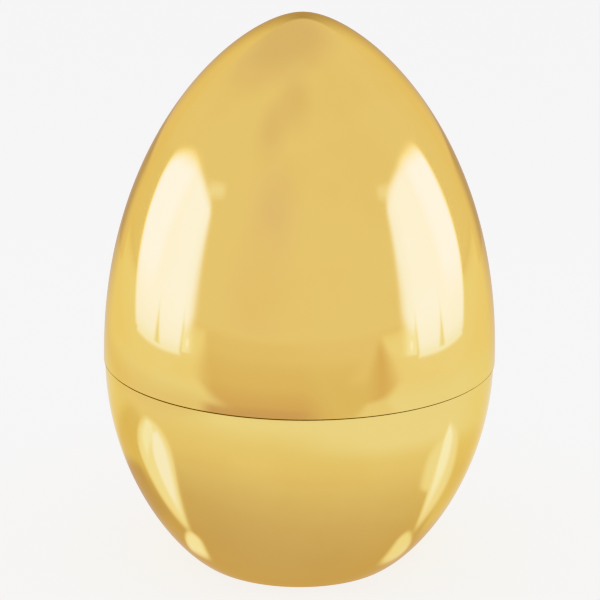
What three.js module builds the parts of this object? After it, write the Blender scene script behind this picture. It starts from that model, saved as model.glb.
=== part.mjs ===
// A gift egg made of two push-together shells of gold metallised plastic, shut and standing on its flat foot.
// Units are millimetres and +Z is up. The origin is the centre of the foot.
// The seam runs level round the widest ring. Just below the upper shell's rim the lower shell is stepped
// back: its shoulder is a little narrower than the rim, and a narrow slot parts the two.
// The shut egg can't be seen into, so each half is solid.
import * as THREE from 'three';

// The whole egg
const HEIGHT = 250;
const SEAM_Z = 93.8;

// Upper shell: upright at the rim and round at the tip
const RIM_RADIUS = 88.1;
const RIM_HANDLE = 104.5;
const TIP_HANDLE = 25.6;

// Lower shell: upright at the shoulder, then curving in to the foot
const SHOULDER_RADIUS = 87.5;
const SHOULDER_HANDLE = 46;
const FOOT_RADIUS = 44.9;
const FOOT_ROUND = 4;
const FOOT_SLOPE = THREE.MathUtils.degToRad(35);
const FOOT_HANDLE = 19.3;

// The slot under the rim, and the land inside it on which the upper shell rests
const SLOT_HEIGHT = 0.6;
const SLOT_DEPTH = 2;
const EDGE_ROUND = 0.25;

// How finely the outlines and the turned surfaces are divided
const UPPER_STEPS = 28;
const LOWER_STEPS = 18;
const FOOT_STEPS = 2;
const EDGE_STEPS = 2;
const SEGMENTS = 72;

const QUARTER_TURN = Math.PI / 2;

function point(radius, height) {
  return new THREE.Vector2(radius, height);
}

// Points of a round of the given radius about a centre, between two angles.
function roundedEdge(centre, radius, fromAngle, toAngle, steps) {
  const arc = new THREE.EllipseCurve(centre.x, centre.y, radius, radius, fromAngle, toAngle);
  return arc.getPoints(steps);
}

// Points of a smooth flank, without its first one, which is the end of the round before it.
function flank(start, startHandle, endHandle, end, steps) {
  const curve = new THREE.CubicBezierCurve(start, startHandle, endHandle, end);
  return curve.getPoints(steps).slice(1);
}

// Half outline of the dome: flat underside, rounded rim, flank to the tip.
function upperOutline() {
  const rimCentre = point(RIM_RADIUS - EDGE_ROUND, SEAM_Z + EDGE_ROUND);
  const rim = roundedEdge(rimCentre, EDGE_ROUND, -QUARTER_TURN, 0, EDGE_STEPS);
  const side = flank(
    point(RIM_RADIUS, rimCentre.y),
    point(RIM_RADIUS, SEAM_Z + RIM_HANDLE),
    point(TIP_HANDLE, HEIGHT),
    point(0, HEIGHT),
    UPPER_STEPS,
  );
  return [point(0, SEAM_Z), ...rim, ...side];
}

// Half outline of the base: foot, rounded foot edge, flank, rounded shoulder, slot and land.
function lowerOutline() {
  const footEdge = roundedEdge(
    point(FOOT_RADIUS, FOOT_ROUND),
    FOOT_ROUND,
    -QUARTER_TURN,
    FOOT_SLOPE - QUARTER_TURN,
    FOOT_STEPS,
  );
  const flankStart = footEdge[footEdge.length - 1];
  const alongFlank = point(Math.cos(FOOT_SLOPE), Math.sin(FOOT_SLOPE)).multiplyScalar(FOOT_HANDLE);
  const shoulderZ = SEAM_Z - SLOT_HEIGHT;
  const shoulderCentre = point(SHOULDER_RADIUS - EDGE_ROUND, shoulderZ - EDGE_ROUND);
  const side = flank(
    flankStart,
    flankStart.clone().add(alongFlank),
    point(SHOULDER_RADIUS, SEAM_Z - SHOULDER_HANDLE),
    point(SHOULDER_RADIUS, shoulderCentre.y),
    LOWER_STEPS,
  );
  const shoulder = roundedEdge(shoulderCentre, EDGE_ROUND, 0, QUARTER_TURN, EDGE_STEPS).slice(1);
  const landRadius = SHOULDER_RADIUS - SLOT_DEPTH;
  return [
    point(0, 0),
    ...footEdge,
    ...side,
    ...shoulder,
    point(landRadius, shoulderZ),
    point(landRadius, SEAM_Z),
    point(0, SEAM_Z),
  ];
}

function goldMetallisedPlastic() {
  return new THREE.MeshStandardMaterial({ color: 0xe5c46e, roughness: 0.08, metalness: 1 });
}

// A solid turned about the upright axis from its half outline.
function turnedShell(name, outline) {
  const geometry = new THREE.LatheGeometry(outline, SEGMENTS);
  geometry.rotateX(QUARTER_TURN);
  const shell = new THREE.Mesh(geometry, goldMetallisedPlastic());
  shell.name = name;
  return shell;
}

const egg = new THREE.Group();
egg.add(turnedShell('upper_shell', upperOutline()));
egg.add(turnedShell('lower_shell', lowerOutline()));

export default egg;
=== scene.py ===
"""A shut gift egg in two shells of gold metallised plastic, standing on a pale studio floor.

Everything is in metres, with +Z up, the egg's foot on z = 0 and the camera on the -Y side.
"""
import math

import bmesh
import bpy
from mathutils import Matrix, Vector


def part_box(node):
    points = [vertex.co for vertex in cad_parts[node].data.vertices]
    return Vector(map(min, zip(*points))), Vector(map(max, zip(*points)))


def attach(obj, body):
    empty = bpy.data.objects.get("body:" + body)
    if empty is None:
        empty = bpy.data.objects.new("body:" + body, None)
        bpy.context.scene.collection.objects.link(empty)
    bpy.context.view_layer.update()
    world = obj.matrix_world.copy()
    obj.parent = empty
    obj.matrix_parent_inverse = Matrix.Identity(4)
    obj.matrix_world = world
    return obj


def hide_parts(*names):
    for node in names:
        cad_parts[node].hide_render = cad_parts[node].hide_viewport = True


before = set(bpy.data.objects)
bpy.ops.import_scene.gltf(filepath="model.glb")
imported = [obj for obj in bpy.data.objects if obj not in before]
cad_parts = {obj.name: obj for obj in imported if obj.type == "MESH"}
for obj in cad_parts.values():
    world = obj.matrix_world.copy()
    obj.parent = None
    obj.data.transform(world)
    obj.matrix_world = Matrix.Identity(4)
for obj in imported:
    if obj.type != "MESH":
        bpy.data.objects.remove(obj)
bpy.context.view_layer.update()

bl_info = {
    "name": "Gold gift egg",
    "version": (1, 0, 0),
    "blender": (4, 5, 0),
    "location": "3D View > Sidebar > Gift egg",
    "description": "Makes a shut two-part egg of gold metallised plastic and its studio",
    "category": "Object",
}

MM = 0.001
FULL_TURN = 2 * math.pi
QUARTER_TURN = math.pi / 2

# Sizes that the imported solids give: the rim, the shoulder, the seam and the tip
UPPER_LOW, UPPER_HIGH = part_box("upper_shell")
SEAM_HEIGHT = UPPER_LOW.z
TIP_HEIGHT = UPPER_HIGH.z
RIM_RADIUS = UPPER_HIGH.x
SHOULDER_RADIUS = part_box("lower_shell")[1].x

# How finely the outlines and the turned surfaces are divided, for smooth mirror reflections
FLANK_STEPS = 110
ROUND_STEPS = 5
TURN_STEPS = 256
EDGE_SEGMENTS = 3
SMOOTH_BELOW = math.radians(10)

# How near a vertex must be to count as at a place, and how far inside the shoulder a face gets the painted seam
# shade
PLACE_TOLERANCE = 0.002 * MM
SEAM_SHADE_MARGIN = 0.01 * MM

# Finish: the mould's grain and waves, the dullness of the painted seam shade, the lacquer's clouds and gloss,
# and the soft top of the rim's painted shade band
GRAIN_SIZE = 1.5 * MM
GRAIN_DEPTH = 0.02 * MM
GRAIN_DETAIL = 2.0
SEAM_SHADE_ROUGHNESS = 0.55
SEAM_SHADE_GLOSS = 0.02
CLOUD_SIZE = 45 * MM
CLOUD_START = 0.55
CLOUD_SOFTNESS = 0.26
CLOUD_NOISE = {"Detail": 3.0, "Roughness": 0.55}
WAVE_NOISE = {"Detail": 1.0, "Roughness": 0.4}
LACQUER_WEIGHT = 0.03
LACQUER_ROUGHNESS = 0.02
SHADE_BAND_SOFTNESS = 0.06 * MM

# The photograph's frame, the film size that the lens is given for, and the nearest thing the camera sees
IMAGE_PIXELS = 600
FILM_WIDTH_MM = 36
NEAREST_SEEN = 10 * MM

# The lamps, the floor, and the cards that stand for the tent's walls, each as width and height
LAMP_SIZE = (900 * MM, 600 * MM)
FLOOR_SIZE = 12
FLOOR_ROUGHNESS = 0.9
FLOOR_CARD_HEIGHT = 0.4 * MM
WALL_SIZE = (1400 * MM, 1200 * MM)
WALL_MIDDLE = 400 * MM
HAZE_BEHIND = 2 * MM
BACK_SIZE = (1500 * MM, 1100 * MM)
BACK_MIDDLE_HEIGHT = 552 * MM

# Brightness of what the egg reflects, as red, green and blue, where the light tent's cloth is 1
CLOTH = (1.0, 1.0, 1.0)
# The egg's own shade on the floor, from under the egg outwards, and the floor round it
SHADE_DEEP = (0.745, 0.665, 0.69)
SHADE_EDGE = (1.0, 1.01, 0.95)
SHADE_SIDE = (0.91, 0.88, 0.78)
SHADE_WEDGE = (0.70, 0.62, 0.66)
SHADE_RIGHT = (0.95, 0.95, 0.88)
FLOOR_BRIGHT = (1.06, 1.17, 1.29)
FLOOR_FAR = (1.08, 1.12, 1.13)
FLOOR_SIDE = (1.10, 1.16, 1.18)
FLOOR_LEFT = (1.0, 1.0, 1.02)
FLOOR_RIGHT = (1.075, 1.19, 1.35)
FLOOR_BACK = (0.65, 0.585, 0.60)
FLOOR_HORIZON = (0.98, 0.96, 0.93)
# The dimmer floor past the tent's front edge
DIM_DEEP = (0.74, 0.60, 0.63)
DIM_NEAR = (0.82, 0.68, 0.66)
DIM_MIDDLE = (0.90, 0.83, 0.75)
DIM_RIGHT = (0.91, 0.87, 0.77)
DIM_RIDGE = (0.97, 0.94, 0.88)
DIM_STRIP = (0.87, 0.75, 0.67)
DIM_FAR = (0.95, 0.92, 0.86)
DIM_FAR_RIGHT = (0.975, 0.95, 0.92)
BRIGHT_PATCH = (1.03, 1.06, 1.1)
# The tent's back wall, and the paler parts of its windows
BACK_MIDDLE = (0.58, 0.51, 0.55)
BACK_SIDE = (1.0, 0.98, 0.95)
BACK_FOOT = (0.62, 0.56, 0.58)
FOLD_SHADE = (1.12, 1.25, 1.35)
WINDOW_BORDER = (2.2, 2.7, 5.2)
WINDOW_HEM = (1.7, 2.05, 3.3)
CORNER_GLOW = (1.5, 1.75, 2.3)
CORNER_SPOT = (3.0, 3.5, 5.0)
HAZE = (1.18, 1.28, 1.5)

# The light from above: the way to its dimmest part, and where it starts to dim and how softly, as a cosine
OVERHEAD = (0.89, 0.85, 0.96)
OVERHEAD_WAY = (-0.17, 0.4, 0.90)
OVERHEAD_START = 0.88
OVERHEAD_SOFTNESS = 0.2
# Faint patches of the room above and in front: brightness, the way to each, its size and its softness
ROOM_PATCHES = [
    ((0.915, 0.88, 0.91), (-0.1, -0.34, 0.935), 0.16, 0.3),
    ((0.915, 0.88, 0.91), (-0.34, -0.44, 0.83), 0.14, 0.26),
    ((0.95, 0.915, 1.03), (-0.3, -0.81, 0.5), 0.2, 0.36),
    ((0.985, 0.96, 0.965), (-0.45, -0.88, 0.14), 0.26, 0.3),
]

# The shade is a little wider across than from front to back, and its centre lies front left
SHADE_STRETCH = (0.85, 1, 0)
SHADE_OFFSET = (14 * MM, 20 * MM, 0)
# Soft rings on the floor, each as its radius and its softness in mm
FLOOR_RINGS = {
    "shade_core": (100, 130),
    "shade_edge": (220, 130),
    "shade_end": (400, 160),
    "left_end": (420, 140),
    "right_start": (192, 60),
    "right_end": (345, 40),
    "seam": (343, 4),
    "dim_near_end": (470, 240),
    "dim_far_start": (900, 700),
    "deep_end": (388, 50),
    "ridge_start": (580, 160),
    "strip_end": (1700, 1800),
    "horizon": (2300, 2200),
    "past_horizon": (4200, 3200),
}
# Soft straight edges, each as the direction across it, where it lies along that, and its softness in mm
STRIP_WAY = (-0.7, -0.714, 0)
FLOOR_EDGES = {
    "beside_walls": ((1, -0.6, 0), 430, 120),
    "left": ((-1, 0, 0), 260, 120),
    "right": ((1, -0.3, 0), 110, 220),
    "back": ((0, 1, 0), 200, 200),
    "back_middle": ((-0.793, 0.61, 0), 60, 420),
    "dim_front": ((0, -1, 0), 302, 70),
    "dim_left": ((0.58, -0.81, 0), 5, 180),
    "dim_side": (STRIP_WAY, -66, 160),
    "dim_right": ((1, 0, 0), 70, 160),
    "dim_far_right": ((1, 0, 0), 0, 900),
    "strip_inside": (STRIP_WAY, 58, 110),
    "ridge_side": (STRIP_WAY, 95, 70),
    "ridge_inside": (STRIP_WAY, 200, 120),
    "deep_left": ((0.643, -0.766, 0), 4, 70),
    "deep_right": ((-1, 0, 0), -30, 110),
    "hem_side": ((1, 0, 0), 700, 60),
    "hem_front": ((0, 1, 0), -285, 20),
    "hem_back": ((0, -1, 0), -165, 30),
}
WINDOW_EDGES = {
    "rear": ((0, 1, 0.15), 40, 160),
    "high": ((0, 0, 1), 130, 160),
    "above_sill": ((0, 0, 1), 60, 100),
    "above_hem": ((0, 0, 1), 14, 36),
    "behind_front": ((0, 1, 0), -340, 140),
    "front_corner": ((0, -1, 0), 318, 24),
    "low_corner": ((0, -0.4, -1), 60, 70),
}
BACK_EDGES = {
    "side": ((1, 0, 0), 280, 560),
    "foot": ((0.12, 0, -1), -125, 50),
    "foot_inside": ((1, 0, 0), 220, 60),
    "foot_outside": ((-1, 0, 0), -520, 320),
    "below_top": ((0, 0, -1), -1000, 200),
}

# The planes that the patches lie in, each as its directions across and upward
FLOOR_PLANE = ((1, 0, 0), (0, 1, 0))
SIDE_PLANE = ((0, 1, 0), (0, 0, 1))

# Corners of the soft-edged patches, in mm, each with the softness of the edge that starts there.
# Each lit window lies in a side wall: how far back and how high
WINDOWS = {
    "left": [
        (195, -30, 80),
        (388, 262, 100),
        (392, 400, 130),
        (280, 482, 140),
        (-125, 583, 150),
        (-242, 566, 150),
        (-388, 546, 150),
        (-438, 395, 200),
        (-435, -20, 14),
    ],
    "right": [
        (186, -22, 80),
        (258, 74, 80),
        (314, 211, 100),
        (297, 470, 130),
        (268, 515, 140),
        (-172, 614, 150),
        (-425, 577, 150),
        (-478, 360, 200),
        (-462, -12, 14),
    ],
}
# The hazy patch of the side wall above each window's front corner: how far back and how high
WINDOW_HAZE = [(-276, 527, 120), (-248, 581, 50), (-444, 681, 120), (-472, 627, 50)]
# The bright spot in the low front corner: how far back and how high, its size and its softness
WINDOW_SPOT = (-370, 30)
SPOT_SIZE = 13
SPOT_SOFTNESS = 14
# Each fold's front and back edge at the floor, and how the edges close in upwards and fade
FOLDS = [(-92, -32), (-352, -286)]
FOLD_LEAN = -0.25
FOLD_SOFTNESS = 36
# Patches of the floor: how far to the right and how far back
BRIGHT_CORNER = [(235, -345, 40), (300, -300, 40), (270, -215, 40), (200, -260, 30), (150, -290, 40)]
LEFT_SHADE = [(-120, 0, 40), (-105, 110, 60), (-180, 105, 60), (-270, 60, 60), (-250, 12, 30)]
RIGHT_SHADE = [(70, -15, 10), (125, -5, 30), (140, 40, 40), (110, 75, 40), (80, 30, 20)]
LEFT_WEDGE = [(-85, -24, 20), (-60, 40, 20), (-100, 100, 30), (-128, 58, 24), (-134, 16, 20)]
# Streaks of window light that the egg throws on the floor, outer shapes first, each with its brightness
STREAKS = [
    (
        [
            (-66, -37, 10),
            (-160, 16, 20),
            (-207, 15, 22),
            (-243, -12, 22),
            (-225, -46, 20),
            (-190, -64, 18),
            (-150, -66, 14),
            (-110, -55, 10),
        ],
        (1.27, 1.46, 1.85),
    ),
    (
        [(-84, -38, 8), (-150, -24, 12), (-200, -28, 14), (-205, -44, 12), (-172, -55, 12), (-125, -52, 10)],
        (1.8, 2.2, 4.0),
    ),
    ([(-150, -7, 12), (-190, 4, 12), (-231, -12, 14), (-226, -27, 12), (-204, -32, 12)], (1.5, 1.82, 2.7)),
    ([(-45, -36, 8), (-55, -22, 8), (-64, -27, 7), (-66, -36, 7), (-58, -42, 8)], (1.5, 1.78, 2.5)),
    (
        [(108, -48, 18), (135, -58, 20), (168, -56, 24), (196, -38, 28), (200, -26, 10), (108, -28, 10)],
        (1.16, 1.3, 1.5),
    ),
    (
        [
            (72, -27, 8),
            (112, -36, 10),
            (150, -35, 12),
            (213, -26, 18),
            (240, -14, 18),
            (206, 11, 20),
            (165, 14, 20),
            (112, 0, 12),
        ],
        (1.25, 1.42, 1.85),
    ),
    (
        [(92, -28, 8), (140, -33, 10), (200, -27, 12), (228, -14, 10), (205, -5, 14), (150, -9, 14)],
        (1.7, 2.1, 3.4),
    ),
    (
        [(42, -38, 7), (62, -40, 7), (69, -34, 7), (65, -24, 8), (57, -20, 8), (47, -27, 8)],
        (1.22, 1.4, 1.75),
    ),
]


# Colours and nodes


def linear(hex_colour):
    """Turns an sRGB hex colour into Blender's linear red, green and blue."""
    channels = [int(hex_colour[i:i + 2], 16) / 255 for i in (1, 3, 5)]
    return tuple(c / 12.92 if c <= 0.04045 else ((c + 0.055) / 1.055) ** 2.4 for c in channels)


def rgba(colour):
    return (*colour, 1.0)


def add_node(tree, kind, inputs=None, **settings):
    """Adds a node, sets its settings, and fills its inputs with values or with links from other sockets."""
    node = tree.nodes.new(kind)
    for name, value in settings.items():
        setattr(node, name, value)
    for name, value in (inputs or {}).items():
        if isinstance(value, bpy.types.NodeSocket):
            tree.links.new(value, node.inputs[name])
        else:
            node.inputs[name].default_value = value
    return node


def new_material(name):
    material = bpy.data.materials.new(name)
    material.use_nodes = True
    material.node_tree.nodes.clear()
    return material


# Settings that a user would change


class GiftEggSizes(bpy.types.PropertyGroup):
    rim_handle: bpy.props.FloatProperty(
        name="Rim handle",
        description="How far the upper flank's curve handle stands above the seam",
        default=104.5 * MM,
        unit="LENGTH",
    )
    tip_handle: bpy.props.FloatProperty(
        name="Tip handle",
        description="Length of the level curve handle at the tip, which sets how blunt the tip is",
        default=25.6 * MM,
        unit="LENGTH",
    )
    shoulder_handle: bpy.props.FloatProperty(
        name="Shoulder handle",
        description="How far the lower flank's curve handle hangs below the seam",
        default=46 * MM,
        unit="LENGTH",
    )
    foot_radius: bpy.props.FloatProperty(
        name="Foot radius",
        description="Radius of the flat foot",
        default=44.9 * MM,
        unit="LENGTH",
    )
    foot_round: bpy.props.FloatProperty(
        name="Foot round",
        description="Radius of the round between the foot and the flank",
        default=4 * MM,
        unit="LENGTH",
    )
    foot_slope: bpy.props.FloatProperty(
        name="Foot slope",
        description="Slope of the flank where it leaves the foot",
        default=math.radians(35),
        subtype="ANGLE",
    )
    foot_handle: bpy.props.FloatProperty(
        name="Foot handle",
        description="Length of the lower flank's curve handle at the foot",
        default=19.3 * MM,
        unit="LENGTH",
    )
    slot_height: bpy.props.FloatProperty(
        name="Slot height",
        description="Gap under the rim, on average round the egg",
        default=0.4 * MM,
        unit="LENGTH",
    )
    slot_tilt: bpy.props.FloatProperty(
        name="Slot tilt",
        description="Lean of the shoulder, which leaves the gap wider on the left than on the right",
        default=math.radians(0.05),
        subtype="ANGLE",
    )
    slot_depth: bpy.props.FloatProperty(
        name="Slot depth",
        description="How far the slot runs in from the shoulder to the land",
        default=2 * MM,
        unit="LENGTH",
    )
    rim_round: bpy.props.FloatProperty(
        name="Rim round",
        description="Radius of the upper shell's moulded rim",
        default=0.2 * MM,
        unit="LENGTH",
    )
    shoulder_round: bpy.props.FloatProperty(
        name="Shoulder round",
        description="Radius of the lower shell's moulded shoulder",
        default=0.06 * MM,
        unit="LENGTH",
    )


class GiftEggFinish(bpy.types.PropertyGroup):
    gold: bpy.props.FloatVectorProperty(
        name="Gold",
        description="Colour that the lacquered metal film gives its reflections",
        default=linear("#eccb7a"),
        subtype="COLOR",
        size=3,
        min=0,
        max=1,
    )
    edge_gold: bpy.props.FloatVectorProperty(
        name="Edge gold",
        description="Tint of the film where it is seen at a low angle",
        default=(0.963, 0.833, 0.545),
        subtype="COLOR",
        size=3,
        min=0,
        max=1,
    )
    cloudy_gold: bpy.props.FloatVectorProperty(
        name="Cloudy gold",
        description="Colour where the lacquer lies thicker",
        default=linear("#eac876"),
        subtype="COLOR",
        size=3,
        min=0,
        max=1,
    )
    # Painted shade: the dark amber that stands in for the seam's shadow line, in the slot and along the rim
    seam_shade_amber: bpy.props.FloatVectorProperty(
        name="Seam shade amber",
        description="Colour of the bare plastic inside the seam",
        default=linear("#62400a"),
        subtype="COLOR",
        size=3,
        min=0,
        max=1,
    )
    # Painted shade: height of the dark band painted along the rim's lower edge as the seam's shadow line
    rim_shade_band: bpy.props.FloatProperty(
        name="Rim shade band",
        description="Height of the rim's lower edge that the film leaves bare, on average round the egg",
        default=0.5 * MM,
        unit="LENGTH",
    )
    # Painted shade: the lean of that painted band's top, so the shadow line's thickness varies round the egg
    rim_shade_lean: bpy.props.FloatVectorProperty(
        name="Rim shade lean",
        description="How much higher the shade band's top stands for each step to the right and to the back",
        default=(-0.0002, 0.0036),
        subtype="XYZ",
        size=2,
    )
    roughness: bpy.props.FloatProperty(
        name="Roughness",
        description="Roughness of the metal film",
        default=0.05,
        min=0,
        max=1,
        subtype="FACTOR",
    )
    wave_length: bpy.props.FloatProperty(
        name="Wave length",
        description="Distance between the moulding's faint waves",
        default=38 * MM,
        unit="LENGTH",
    )
    wave_depth: bpy.props.FloatProperty(
        name="Wave depth",
        description="Depth of the moulding's faint waves",
        default=0.05 * MM,
        unit="LENGTH",
    )


class GiftEggStudio(bpy.types.PropertyGroup):
    camera_distance: bpy.props.FloatProperty(
        name="Camera distance",
        description="From the lens to the egg's axis",
        default=1125 * MM,
        unit="LENGTH",
    )
    camera_elevation: bpy.props.FloatProperty(
        name="Camera elevation",
        description="How steeply the camera looks down",
        default=math.radians(16.74),
        subtype="ANGLE",
    )
    camera_roll: bpy.props.FloatProperty(
        name="Camera roll",
        description="Turn of the camera about its own line of sight",
        default=math.radians(0.664),
        subtype="ANGLE",
    )
    aim_height: bpy.props.FloatProperty(
        name="Aim height",
        description="Height on the egg's axis that the camera looks at",
        default=119.7 * MM,
        unit="LENGTH",
    )
    focal_pixels: bpy.props.FloatProperty(
        name="Focal length in pixels",
        description="Focal length, in pixels of the photograph's frame",
        default=2509,
        min=1,
        subtype="PIXEL",
    )
    side_distance: bpy.props.FloatProperty(
        name="Side distance",
        description="From the egg's axis to the light tent's side walls",
        default=750 * MM,
        unit="LENGTH",
    )
    back_distance: bpy.props.FloatProperty(
        name="Back distance",
        description="From the egg's axis to the light tent's back wall",
        default=760 * MM,
        unit="LENGTH",
    )
    bright_window: bpy.props.FloatVectorProperty(
        name="Bright window",
        description="Brightness of the lit windows' upper rear part, where the tent itself is about 1",
        default=(14.7, 16.0, 16.0),
        subtype="COLOR",
        size=3,
        min=0,
    )
    dim_window: bpy.props.FloatVectorProperty(
        name="Dim window",
        description="Brightness of the rest of the lit windows",
        default=(4.3, 5.2, 9.5),
        subtype="COLOR",
        size=3,
        min=0,
    )
    lamp_radiance: bpy.props.FloatProperty(
        name="Lamp radiance",
        description="Brightness of the side lamps that light the floor",
        default=2.5,
        min=0,
        subtype="UNSIGNED",
    )
    floor_glow: bpy.props.FloatProperty(
        name="Floor glow",
        description="Light that comes through the translucent floor sheet",
        default=1.0,
        min=0,
        subtype="UNSIGNED",
    )
    floor_colour: bpy.props.FloatVectorProperty(
        name="Floor colour",
        description="Colour of the floor sheet",
        default=(0.3, 0.3, 0.3),
        subtype="COLOR",
        size=3,
        min=0,
        max=1,
    )


# Modelling steps shared by the two shells


def start_fresh():
    """Leaves edit mode and deselects everything."""
    if bpy.context.object and bpy.context.object.mode != "OBJECT":
        bpy.ops.object.mode_set(mode="OBJECT")
    bpy.ops.object.select_all(action="DESELECT")


def make_active(piece):
    start_fresh()
    piece.select_set(True)
    bpy.context.view_layer.objects.active = piece


def outline_piece(name, strokes):
    """Draws Bezier strokes in the XZ plane and turns them into one line of edges.

    A stroke is its number of steps and four points: start, two handles and end, each as (radius, height).
    """
    start_fresh()
    bpy.ops.curve.primitive_bezier_curve_add(location=(0, 0, 0))
    piece = bpy.context.object
    piece.name = name
    piece.data.dimensions = "3D"
    piece.data.splines.clear()
    for steps, start, start_handle, end_handle, end in strokes:
        stroke = piece.data.splines.new("BEZIER")
        stroke.bezier_points.add(1)
        stroke.resolution_u = steps
        first, last = stroke.bezier_points
        for knot in (first, last):
            knot.handle_left_type = knot.handle_right_type = "FREE"
        for knot, place, left, right in ((first, start, start, start_handle), (last, end, end_handle, end)):
            knot.co = (place[0], 0, place[1])
            knot.handle_left = (left[0], 0, left[1])
            knot.handle_right = (right[0], 0, right[1])
    bpy.ops.object.convert(target="MESH")
    piece = bpy.context.object
    piece.name = piece.data.name = name
    bpy.ops.object.mode_set(mode="EDIT")
    bpy.ops.mesh.select_all(action="SELECT")
    bpy.ops.mesh.remove_doubles(threshold=PLACE_TOLERANCE)
    bpy.ops.mesh.select_all(action="DESELECT")
    return piece


def select_at(piece, radius, height):
    """In edit mode, selects only the vertices at this radius and height, and the edges between them."""
    bpy.ops.mesh.select_mode(type="VERT")
    bpy.ops.mesh.select_all(action="DESELECT")
    mesh = bmesh.from_edit_mesh(piece.data)
    ring = [
        vertex
        for vertex in mesh.verts
        if abs(math.hypot(vertex.co.x, vertex.co.y) - radius) < PLACE_TOLERANCE
        and abs(vertex.co.z - height) < PLACE_TOLERANCE
    ]
    if not ring:
        raise RuntimeError(f"{piece.name} has nothing at radius {radius} and height {height}")
    for vertex in ring:
        vertex.select = True
    mesh.select_flush_mode()
    bmesh.update_edit_mesh(piece.data)


def extend_outline(piece, corners):
    """From the outline's vertex at the first corner, draws straight edges through the other corners."""
    select_at(piece, *corners[0])
    for here, there in zip(corners, corners[1:]):
        step = (there[0] - here[0], 0, there[1] - here[1])
        bpy.ops.mesh.extrude_region_move(TRANSFORM_OT_translate={"value": step})


def turn_outline():
    """In edit mode, spins the outline through a full turn about the upright axis and closes the skin."""
    bpy.ops.mesh.select_all(action="SELECT")
    bpy.ops.mesh.spin(steps=TURN_STEPS, angle=FULL_TURN, center=(0, 0, 0), axis=(0, 0, 1))
    bpy.ops.mesh.select_all(action="SELECT")
    bpy.ops.mesh.remove_doubles(threshold=PLACE_TOLERANCE)
    bpy.ops.mesh.normals_make_consistent(inside=False)


def round_selected_ring(size):
    bpy.ops.mesh.bevel(offset=size, segments=EDGE_SEGMENTS, affect="EDGES", clamp_overlap=True)


def finish_shell(piece, film, darkened, slot_bottom, node):
    """Smooths a shell, films its outside, paints its faces in the seam dark amber as painted shade, and lets it
    stand for its solid.

    The seam reaches from the slot's bottom, with the round of the shoulder, up to the underside of the rim.
    """
    piece.data.materials.clear()
    for material in (film, darkened):
        piece.data.materials.append(material)
    bpy.ops.mesh.select_mode(type="FACE")
    bpy.ops.mesh.select_all(action="DESELECT")
    mesh = bmesh.from_edit_mesh(piece.data)
    for face in mesh.faces:
        centre = face.calc_center_median()
        in_seam = slot_bottom < centre.z < SEAM_HEIGHT + PLACE_TOLERANCE
        face.select = in_seam and math.hypot(centre.x, centre.y) < SHOULDER_RADIUS - SEAM_SHADE_MARGIN
    bmesh.update_edit_mesh(piece.data)
    # The faces in the seam get the dark amber of the painted seam shade
    piece.active_material_index = 1
    bpy.ops.object.material_slot_assign()
    bpy.ops.mesh.select_all(action="DESELECT")
    bpy.ops.object.mode_set(mode="OBJECT")
    make_active(piece)
    bpy.ops.object.shade_smooth_by_angle(angle=SMOOTH_BELOW)
    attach(piece, "root")
    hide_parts(node)


# Finish


def seam_shade_shader(tree, place, finish):
    """Matt dark amber with the fine grain of the mould, painted in the seam as its shadow line."""
    grain_look = {"Vector": place, "Scale": 1 / GRAIN_SIZE, "Detail": GRAIN_DETAIL}
    grain = add_node(tree, "ShaderNodeTexNoise", grain_look)
    relief = {"Height": grain.outputs["Fac"], "Distance": GRAIN_DEPTH, "Strength": 1.0}
    look = {
        "Base Color": rgba(finish.seam_shade_amber),
        "Roughness": SEAM_SHADE_ROUGHNESS,
        "Specular IOR Level": SEAM_SHADE_GLOSS,
        "Normal": add_node(tree, "ShaderNodeBump", relief).outputs["Normal"],
    }
    return add_node(tree, "ShaderNodeBsdfPrincipled", look).outputs["BSDF"]


def film_shader(tree, place, finish):
    """The lacquered metal film: a coloured mirror with faint waves and clouds."""
    cloud_look = {"Vector": place, "Scale": 1 / CLOUD_SIZE, **CLOUD_NOISE}
    clouds = add_node(tree, "ShaderNodeTexNoise", cloud_look).outputs["Fac"]
    cloudy = rise(tree, clouds, CLOUD_START, CLOUD_SOFTNESS)
    wave_look = {"Vector": place, "Scale": 1 / finish.wave_length, **WAVE_NOISE}
    waves = add_node(tree, "ShaderNodeTexNoise", wave_look).outputs["Fac"]
    relief = {"Height": waves, "Distance": finish.wave_depth, "Strength": 1.0}
    normal = add_node(tree, "ShaderNodeBump", relief).outputs["Normal"]
    look = {
        "Base Color": blend(tree, cloudy, finish.gold, finish.cloudy_gold),
        "Metallic": 1.0,
        "Roughness": finish.roughness,
        "Specular Tint": rgba(finish.edge_gold),
        "Coat Weight": LACQUER_WEIGHT,
        "Coat Roughness": LACQUER_ROUGHNESS,
        "Normal": normal,
        "Coat Normal": normal,
    }
    return add_node(tree, "ShaderNodeBsdfPrincipled", look).outputs["BSDF"]


def gold_metallised_plastic(name, finish, shade_band_top):
    """Styrene, injection moulded, metallised under vacuum and lacquered gold.

    The film is a coloured mirror, so the eye sees the studio in gold. The thin clear lacquer over it adds a
    faint white gloss, the moulding's faint waves bend the reflections, and uneven lacquer clouds the tone.
    Below the shade band's top the film gives way to dull dark amber, a hair-thin painted shadow line along a
    rim.
    """
    material = new_material(name)
    tree = material.node_tree
    place = add_node(tree, "ShaderNodeTexCoord").outputs["Object"]
    lean_right, lean_back = finish.rim_shade_lean
    # Gold film above the band's top, and painted shade in dark amber below it
    above_shade_band = beyond(tree, place, (-lean_right, -lean_back, 1), shade_band_top, SHADE_BAND_SOFTNESS)
    layers = {"Fac": above_shade_band, 1: seam_shade_shader(tree, place, finish), 2: film_shader(tree, place, finish)}
    skin = add_node(tree, "ShaderNodeMixShader", layers).outputs["Shader"]
    add_node(tree, "ShaderNodeOutputMaterial", {"Surface": skin})
    return material


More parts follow.
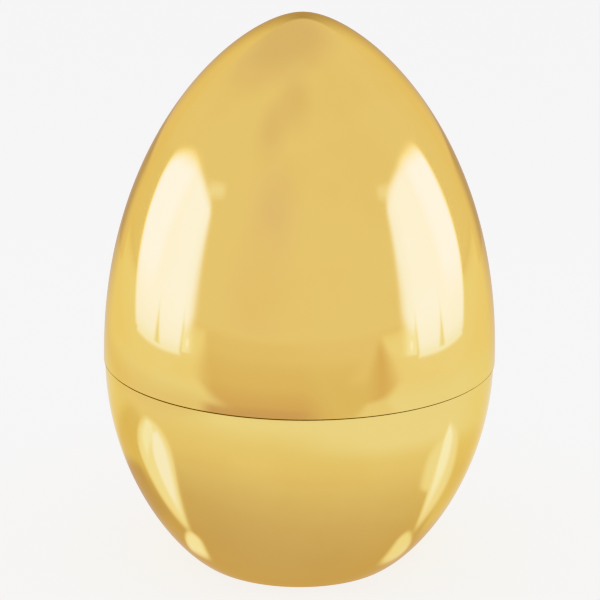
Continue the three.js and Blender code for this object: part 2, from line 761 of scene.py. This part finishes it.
def seam_shade_material(name, finish):
    """Dull dark amber in the slot and on the shoulder's round: painted shade, a dull, dark amber line to the
    eye.
    """
    material = new_material(name)
    tree = material.node_tree
    place = add_node(tree, "ShaderNodeTexCoord").outputs["Object"]
    add_node(tree, "ShaderNodeOutputMaterial", {"Surface": seam_shade_shader(tree, place, finish)})
    return material


# Studio


def rise(tree, value, start, softness):
    """Rises smoothly from 0 to 1 as the value passes the start, over the softness."""
    limits = {"Value": value, "From Min": start - softness / 2, "From Max": start + softness / 2}
    return add_node(tree, "ShaderNodeMapRange", limits, interpolation_type="SMOOTHSTEP").outputs["Result"]


def beyond(tree, place, direction, start, softness):
    """1 where the place lies further along the direction than the start, and 0 nearer, with a soft step."""
    along = add_node(tree, "ShaderNodeVectorMath", {0: place, 1: direction}, operation="DOT_PRODUCT")
    return rise(tree, along.outputs["Value"], start, softness)


def near(tree, place, centre, size, softness):
    """1 within the size of the centre, and 0 further off, with a soft step."""
    off = add_node(tree, "ShaderNodeVectorMath", {0: place, 1: centre}, operation="DISTANCE").outputs["Value"]
    return opposite(tree, rise(tree, off, size, softness))


def opposite(tree, amount):
    return add_node(tree, "ShaderNodeMath", {0: 1.0, 1: amount}, operation="SUBTRACT").outputs["Value"]


def all_of(tree, *amounts):
    """1 only where every amount is 1."""
    joined = amounts[0]
    for amount in amounts[1:]:
        product = add_node(tree, "ShaderNodeMath", {0: joined, 1: amount}, operation="MULTIPLY")
        joined = product.outputs["Value"]
    return joined


def blend(tree, amount, low, high):
    """The colour from low to high that the amount, from 0 to 1, stands for."""
    ends = [end if isinstance(end, bpy.types.NodeSocket) else rgba(end) for end in (low, high)]
    mix = {"Factor": amount, "A": ends[0], "B": ends[1]}
    return add_node(tree, "ShaderNodeMix", mix, data_type="RGBA").outputs["Result"]


def lay_over(tree, below, colour, *amounts):
    """Lays a colour over what is below, where every amount is 1."""
    return blend(tree, all_of(tree, *amounts), below, colour)


def past(tree, place, edge):
    """1 past a straight edge, given as the direction across it, and in mm where it lies and its softness."""
    direction, start, softness = edge
    return beyond(tree, place, direction, start * MM, softness * MM)


def outside(tree, distance, ring):
    """1 outside a ring, which is given in mm as its radius and its softness."""
    radius, softness = ring
    return rise(tree, distance, radius * MM, softness * MM)


def patch(tree, place, corners, plane):
    """1 within a convex patch of a plane and 0 outside it, with soft edges.

    A corner is how far it lies across and upward, and how soft the edge is that starts there, all in mm.
    The corners go round with the patch on their left.
    """
    across, upward = (Vector(way) for way in plane)
    amounts = []
    for (x, y, softness), (next_x, next_y, _) in zip(corners, corners[1:] + corners[:1]):
        inward = (across * (y - next_y) + upward * (next_x - x)).normalized()
        start = inward.dot(across * x + upward * y)
        amounts.append(past(tree, place, (tuple(inward), start, softness)))
    return all_of(tree, *amounts)


def glowing_cloth(name, paint, *details):
    """A material that glows in the colour that paint gives where its cover is 1, and is clear where it is 0."""
    material = new_material(name)
    tree = material.node_tree
    place = add_node(tree, "ShaderNodeTexCoord").outputs["Object"]
    colour, cover = paint(tree, place, *details)
    clear = add_node(tree, "ShaderNodeBsdfTransparent").outputs["BSDF"]
    glow = add_node(tree, "ShaderNodeEmission", {"Color": colour, "Strength": 1.0}).outputs["Emission"]
    mix = add_node(tree, "ShaderNodeMixShader", {"Fac": cover, 1: clear, 2: glow}).outputs["Shader"]
    add_node(tree, "ShaderNodeOutputMaterial", {"Surface": mix})
    return material


def hang_card(name, size, centre, turn, material):
    """A flat card that shows only in the egg's reflections."""
    start_fresh()
    bpy.ops.mesh.primitive_plane_add(size=1, location=centre, rotation=turn)
    card = bpy.context.object
    card.name = card.data.name = name
    card.scale = (size[0], size[1], 1)
    bpy.ops.object.transform_apply(location=True, rotation=True, scale=True)
    card.visible_camera = card.visible_diffuse = card.visible_shadow = False
    card.visible_transmission = card.visible_volume_scatter = False
    card.data.materials.append(material)


def lay_floor(studio):
    """A wide translucent white sheet, lit from above and from below."""
    start_fresh()
    bpy.ops.mesh.primitive_plane_add(size=FLOOR_SIZE, location=(0, 0, 0))
    floor = bpy.context.object
    floor.name = floor.data.name = "studio_floor"
    material = new_material("translucent_white_acrylic_matt")
    tree = material.node_tree
    sheet = {
        "Base Color": rgba(studio.floor_colour),
        "Roughness": FLOOR_ROUGHNESS,
        "Specular IOR Level": 0.0,
        "Emission Color": rgba(CLOTH),
        "Emission Strength": studio.floor_glow,
    }
    shader = add_node(tree, "ShaderNodeBsdfPrincipled", sheet)
    add_node(tree, "ShaderNodeOutputMaterial", {"Surface": shader.outputs["BSDF"]})
    floor.data.materials.append(material)


def paint_floor(tree, place):
    """Colours the reflected floor, from the egg's shade out to the horizon."""
    mirrored = add_node(tree, "ShaderNodeVectorMath", {0: place}, operation="ABSOLUTE").outputs["Vector"]
    radius = add_node(tree, "ShaderNodeVectorMath", {0: place}, operation="LENGTH").outputs["Value"]

    def crossed(edge, where=place):
        return past(tree, where, FLOOR_EDGES[edge])

    def out_of(ring):
        return outside(tree, radius, FLOOR_RINGS[ring])

    def within(ring):
        return opposite(tree, out_of(ring))

    def in_patch(corners):
        return patch(tree, place, corners, FLOOR_PLANE)

    stretched = add_node(tree, "ShaderNodeVectorMath", {0: place, 1: SHADE_STRETCH}, operation="MULTIPLY")
    shifted = {0: stretched.outputs["Vector"], 1: SHADE_OFFSET}
    centred = add_node(tree, "ShaderNodeVectorMath", shifted, operation="ADD").outputs["Vector"]
    from_shade = add_node(tree, "ShaderNodeVectorMath", {0: centred}, operation="LENGTH").outputs["Value"]
    colour = blend(tree, outside(tree, from_shade, FLOOR_RINGS["shade_core"]), SHADE_DEEP, SHADE_EDGE)
    colour = lay_over(tree, colour, FLOOR_BRIGHT, outside(tree, from_shade, FLOOR_RINGS["shade_edge"]))
    colour = lay_over(tree, colour, FLOOR_FAR, outside(tree, from_shade, FLOOR_RINGS["shade_end"]))
    for corners, shade in ((LEFT_SHADE, SHADE_SIDE), (LEFT_WEDGE, SHADE_WEDGE), (RIGHT_SHADE, SHADE_RIGHT)):
        colour = lay_over(tree, colour, shade, in_patch(corners))

    # Brighter by the lit side walls and on the right, duller on the left and towards the back wall's middle
    colour = lay_over(tree, colour, FLOOR_SIDE, crossed("beside_walls", mirrored))
    colour = lay_over(tree, colour, FLOOR_LEFT, within("left_end"), crossed("left"))
    colour = lay_over(tree, colour, FLOOR_RIGHT, crossed("right"), out_of("right_start"), within("right_end"))
    colour = lay_over(tree, colour, FLOOR_BACK, crossed("back"), crossed("back_middle", mirrored))

    # The dimmer floor past the tent's front edge, with a ridge of light and a darker strip on its right
    dim_colour = blend(tree, out_of("dim_near_end"), DIM_NEAR, DIM_MIDDLE)
    dim_colour = lay_over(tree, dim_colour, DIM_RIGHT, crossed("dim_right"))
    on_ridge = (crossed("ridge_side"), opposite(tree, crossed("ridge_inside")))
    dim_colour = lay_over(tree, dim_colour, DIM_RIDGE, out_of("ridge_start"), *on_ridge)
    dim_far = blend(tree, crossed("dim_far_right"), DIM_FAR, DIM_FAR_RIGHT)
    dim_colour = lay_over(tree, dim_colour, dim_far, out_of("dim_far_start"))
    on_strip = opposite(tree, crossed("strip_inside"))
    dim_colour = lay_over(tree, dim_colour, DIM_STRIP, on_strip, within("strip_end"))

    # Seen from the front, only the upper shell reflects the floor this far out
    above_seam = out_of("seam")
    front = (crossed("dim_front"), crossed("dim_left"), crossed("dim_side"))
    colour = lay_over(tree, colour, dim_colour, above_seam, *front)
    colour = lay_over(tree, colour, BRIGHT_PATCH, above_seam, in_patch(BRIGHT_CORNER))
    deep = (within("deep_end"), crossed("deep_left"), crossed("deep_right"))
    colour = lay_over(tree, colour, DIM_DEEP, above_seam, *deep)
    colour = lay_over(tree, colour, FLOOR_HORIZON, out_of("horizon"))
    colour = lay_over(tree, colour, CLOTH, out_of("past_horizon"))

    # The lit windows' cloth lies a little way in over the floor
    on_hem = (crossed("hem_side", mirrored), crossed("hem_front"), crossed("hem_back"))
    colour = lay_over(tree, colour, WINDOW_HEM, *on_hem)

    # Window light that the egg itself throws on the floor, to its left and right
    for corners, glow in STREAKS:
        colour = lay_over(tree, colour, glow, in_patch(corners))
    return colour, 1.0


def mirror_floor():
    """What the egg reflects of the floor: its own shade close by, the tent's edges, and lit streaks."""
    # A glowing card, no lamp: the egg's shade, the lit streaks and the tent's edges are painted light and shade
    # in the floor's reflection
    material = glowing_cloth("floor_in_reflection", paint_floor)
    hang_card("mirrored_floor", (FLOOR_SIZE, FLOOR_SIZE), (0, 0, FLOOR_CARD_HEIGHT), (0, 0, 0), material)


def paint_window(tree, place, corners, spot, studio):
    """Colours a lit window, brighter towards the back, with folds in its lower edge and a glowing corner."""

    def crossed(edge):
        return past(tree, place, WINDOW_EDGES[edge])

    window = patch(tree, place, corners, SIDE_PLANE)
    lit = lay_over(tree, studio.dim_window, studio.bright_window, crossed("rear"), crossed("high"))
    lit = lay_over(tree, WINDOW_BORDER, lit, crossed("above_sill"), crossed("behind_front"))
    lit = lay_over(tree, WINDOW_HEM, lit, crossed("above_hem"))
    for front, back in FOLDS:
        behind_front = past(tree, place, ((0, 1, FOLD_LEAN), front, FOLD_SOFTNESS))
        before_back = past(tree, place, ((0, -1, FOLD_LEAN), -back, FOLD_SOFTNESS))
        lit = lay_over(tree, lit, FOLD_SHADE, behind_front, before_back)
    lit = lay_over(tree, lit, CORNER_GLOW, crossed("front_corner"), crossed("low_corner"))
    lit = lay_over(tree, lit, CORNER_SPOT, near(tree, place, spot, SPOT_SIZE * MM, SPOT_SOFTNESS * MM))
    # Cubed, the cover fades slowly towards the window's outer edge
    return lit, all_of(tree, window, window, window)


def paint_haze(tree, place):
    """Colours the faint haze in the side wall above a window's front corner."""
    return rgba(HAZE), patch(tree, place, WINDOW_HAZE, SIDE_PLANE)


def cut_windows(studio):
    """The lit window in each side wall, and the haze above its front corner on a card just behind it."""
    upright = (QUARTER_TURN, 0, QUARTER_TURN)
    for side, corners in WINDOWS.items():
        outward = 1 if side == "right" else -1
        across = outward * studio.side_distance
        spot = (across, WINDOW_SPOT[0] * MM, WINDOW_SPOT[1] * MM)
        cloth = glowing_cloth(f"lit_tent_cloth_{side}", paint_window, corners, spot, studio)
        hang_card(f"tent_window_{side}", WALL_SIZE, (across, 0, WALL_MIDDLE), upright, cloth)
        hazy = glowing_cloth(f"hazy_tent_cloth_{side}", paint_haze)
        behind_window = across + outward * HAZE_BEHIND
        hang_card(f"tent_haze_{side}", WALL_SIZE, (behind_window, 0, WALL_MIDDLE), upright, hazy)


def paint_back(tree, place):
    """Colours the tent's back wall, darker in the middle and along its foot."""
    mirrored = add_node(tree, "ShaderNodeVectorMath", {0: place}, operation="ABSOLUTE").outputs["Vector"]
    colour = blend(tree, past(tree, mirrored, BACK_EDGES["side"]), BACK_MIDDLE, BACK_SIDE)
    foot = [past(tree, mirrored, BACK_EDGES[edge]) for edge in ("foot", "foot_inside", "foot_outside")]
    colour = lay_over(tree, colour, BACK_FOOT, *foot)
    return colour, past(tree, place, BACK_EDGES["below_top"])


def hang_back(studio):
    """The tent's back wall."""
    material = glowing_cloth("shaded_tent_cloth", paint_back)
    centre = (0, studio.back_distance, BACK_MIDDLE_HEIGHT)
    hang_card("tent_back", BACK_SIZE, centre, (QUARTER_TURN, 0, 0), material)


def light_floor(studio):
    """A large soft lamp behind each side wall, which lights the floor and isn't seen in the egg."""
    length, height = LAMP_SIZE
    for side in (-1, 1):
        start_fresh()
        bpy.ops.object.light_add(type="AREA", location=(0, 0, 0))
        lamp = bpy.context.object
        lamp.name = "floor_lamp_left" if side < 0 else "floor_lamp_right"
        lamp.data.shape = "RECTANGLE"
        lamp.data.size = length
        lamp.data.size_y = height
        lamp.data.energy = studio.lamp_radiance * math.pi * length * height
        lamp.visible_camera = lamp.visible_glossy = False
        # An area lamp shines along its own -Z: its X runs front to back and its Y up
        into_stage = Vector((-side, 0, 0))
        up = Vector((0, 0, 1))
        turn = Matrix((up.cross(-into_stage), up, -into_stage)).transposed().to_4x4()
        centre = Vector((side * studio.side_distance, 0, height / 2))
        lamp.matrix_world = Matrix.Translation(centre) @ turn


def light_surroundings(scene):
    """Even pale light from all round, a little dimmer overhead and behind, with faint smudges and tints."""
    world = bpy.data.worlds.new("pale_studio")
    world.use_nodes = True
    tree = world.node_tree
    tree.nodes.clear()
    towards = add_node(tree, "ShaderNodeTexCoord").outputs["Generated"]
    overhead = beyond(tree, towards, OVERHEAD_WAY, OVERHEAD_START, OVERHEAD_SOFTNESS)
    colour = blend(tree, overhead, CLOTH, OVERHEAD)
    for shade, way, size, softness in ROOM_PATCHES:
        colour = lay_over(tree, colour, shade, near(tree, towards, way, size, softness))
    backdrop = add_node(tree, "ShaderNodeBackground", {"Color": colour, "Strength": 1.0})
    add_node(tree, "ShaderNodeOutputWorld", {"Surface": backdrop.outputs["Background"]})
    scene.world = world


def place_camera(scene, studio):
    """Looks down at the egg from the front, as the photograph does."""
    start_fresh()
    bpy.ops.object.camera_add()
    camera = bpy.context.object
    camera.name = "studio_camera"
    camera.data.sensor_width = FILM_WIDTH_MM
    camera.data.lens = studio.focal_pixels / IMAGE_PIXELS * FILM_WIDTH_MM
    camera.data.clip_start = NEAREST_SEEN
    aim = Vector((0, 0, studio.aim_height))
    away = Vector((0, -math.cos(studio.camera_elevation), math.sin(studio.camera_elevation)))
    right = Vector((1, 0, 0))
    upright = Matrix((right, away.cross(right), away)).transposed().to_4x4()
    tilt = Matrix.Rotation(studio.camera_roll, 4, "Z")
    camera.matrix_world = Matrix.Translation(aim + away * studio.camera_distance) @ upright @ tilt
    scene.camera = camera


# Operators, one for each piece and one for the stage


class GIFTEGG_OT_upper_shell(bpy.types.Operator):
    """Make the pointed upper shell with its proud rim"""

    bl_idname = "giftegg.upper_shell"
    bl_label = "Upper shell"

    def execute(self, context):
        sizes = context.scene.gift_egg_sizes
        flank = (
            FLANK_STEPS,
            (RIM_RADIUS, SEAM_HEIGHT),
            (RIM_RADIUS, SEAM_HEIGHT + sizes.rim_handle),
            (sizes.tip_handle, TIP_HEIGHT),
            (0, TIP_HEIGHT),
        )
        shell = outline_piece("gold_upper_shell", [flank])
        extend_outline(shell, [(RIM_RADIUS, SEAM_HEIGHT), (0, SEAM_HEIGHT)])
        turn_outline()
        select_at(shell, RIM_RADIUS, SEAM_HEIGHT)
        round_selected_ring(sizes.rim_round)
        finish = context.scene.gift_egg_finish
        # A thin band of painted shade along the rim's lower edge stands for the seam's dark line
        shade_band_top = SEAM_HEIGHT + finish.rim_shade_band
        film = gold_metallised_plastic("gold_metallised_plastic_upper", finish, shade_band_top)
        darkened = seam_shade_material("painted_seam_shade_matt_upper", finish)
        finish_shell(shell, film, darkened, SEAM_HEIGHT - PLACE_TOLERANCE, "upper_shell")
        return {"FINISHED"}


class GIFTEGG_OT_lower_shell(bpy.types.Operator):
    """Make the rounded lower shell with its flat foot, and the slot under the rim"""

    bl_idname = "giftegg.lower_shell"
    bl_label = "Lower shell"

    def execute(self, context):
        sizes = context.scene.gift_egg_sizes
        shoulder_height = SEAM_HEIGHT - sizes.slot_height
        land_radius = SHOULDER_RADIUS - sizes.slot_depth
        along = (math.cos(sizes.foot_slope), math.sin(sizes.foot_slope))
        round_end = (
            sizes.foot_radius + sizes.foot_round * along[1],
            sizes.foot_round * (1 - along[0]),
        )
        # The handle length that makes a Bezier stroke follow a circle's arc
        arc_handle = 4 / 3 * math.tan(sizes.foot_slope / 4) * sizes.foot_round
        foot_edge = (
            ROUND_STEPS,
            (sizes.foot_radius, 0),
            (sizes.foot_radius + arc_handle, 0),
            (round_end[0] - arc_handle * along[0], round_end[1] - arc_handle * along[1]),
            round_end,
        )
        flank = (
            FLANK_STEPS,
            round_end,
            (round_end[0] + sizes.foot_handle * along[0], round_end[1] + sizes.foot_handle * along[1]),
            (SHOULDER_RADIUS, SEAM_HEIGHT - sizes.shoulder_handle),
            (SHOULDER_RADIUS, shoulder_height),
        )
        shell = outline_piece("gold_lower_shell", [foot_edge, flank])
        extend_outline(shell, [(sizes.foot_radius, 0), (0, 0)])
        slot = [
            (SHOULDER_RADIUS, shoulder_height),
            (land_radius, shoulder_height),
            (land_radius, SEAM_HEIGHT),
            (0, SEAM_HEIGHT),
        ]
        extend_outline(shell, slot)
        turn_outline()
        select_at(shell, SHOULDER_RADIUS, shoulder_height)
        bpy.ops.transform.rotate(
            value=sizes.slot_tilt,
            orient_axis="Y",
            orient_type="GLOBAL",
            center_override=(0, 0, shoulder_height),
        )
        round_selected_ring(sizes.shoulder_round)
        finish = context.scene.gift_egg_finish
        # The lower shell's film has no painted band; its slot and shoulder round get the painted seam shade
        film = gold_metallised_plastic("gold_metallised_plastic_lower", finish, -TIP_HEIGHT)
        darkened = seam_shade_material("painted_seam_shade_matt_lower", finish)
        slot_bottom = shoulder_height - SHOULDER_RADIUS * math.tan(sizes.slot_tilt) - sizes.shoulder_round
        finish_shell(shell, film, darkened, slot_bottom, "lower_shell")
        return {"FINISHED"}


class GIFTEGG_OT_stage(bpy.types.Operator):
    """Set the pale floor, the soft studio light and the camera"""

    bl_idname = "giftegg.stage"
    bl_label = "Studio"

    def execute(self, context):
        studio = context.scene.gift_egg_studio
        lay_floor(studio)
        mirror_floor()
        cut_windows(studio)
        hang_back(studio)
        light_floor(studio)
        light_surroundings(context.scene)
        place_camera(context.scene, studio)
        context.scene.view_settings.view_transform = "Khronos PBR Neutral"
        return {"FINISHED"}


class GIFTEGG_PT_panel(bpy.types.Panel):
    """Lists the egg's pieces and the studio"""

    bl_label = "Gift egg"
    bl_idname = "GIFTEGG_PT_panel"
    bl_space_type = "VIEW_3D"
    bl_region_type = "UI"
    bl_category = "Gift egg"

    def draw(self, context):
        for operator in OPERATORS:
            self.layout.operator(operator.bl_idname)


OPERATORS = (GIFTEGG_OT_upper_shell, GIFTEGG_OT_lower_shell, GIFTEGG_OT_stage)
SETTINGS = {
    "gift_egg_sizes": GiftEggSizes,
    "gift_egg_finish": GiftEggFinish,
    "gift_egg_studio": GiftEggStudio,
}


def register():
    for group in SETTINGS.values():
        bpy.utils.register_class(group)
    for operator in OPERATORS:
        bpy.utils.register_class(operator)
    bpy.utils.register_class(GIFTEGG_PT_panel)
    for name, group in SETTINGS.items():
        setattr(bpy.types.Scene, name, bpy.props.PointerProperty(type=group))


def unregister():
    for name in SETTINGS:
        delattr(bpy.types.Scene, name)
    bpy.utils.unregister_class(GIFTEGG_PT_panel)
    for operator in reversed(OPERATORS):
        bpy.utils.unregister_class(operator)
    for group in reversed(SETTINGS.values()):
        bpy.utils.unregister_class(group)


def main():
    register()
    bpy.ops.giftegg.stage()
    bpy.ops.giftegg.upper_shell()
    bpy.ops.giftegg.lower_shell()
    start_fresh()


if __name__ == "__main__":
    main()
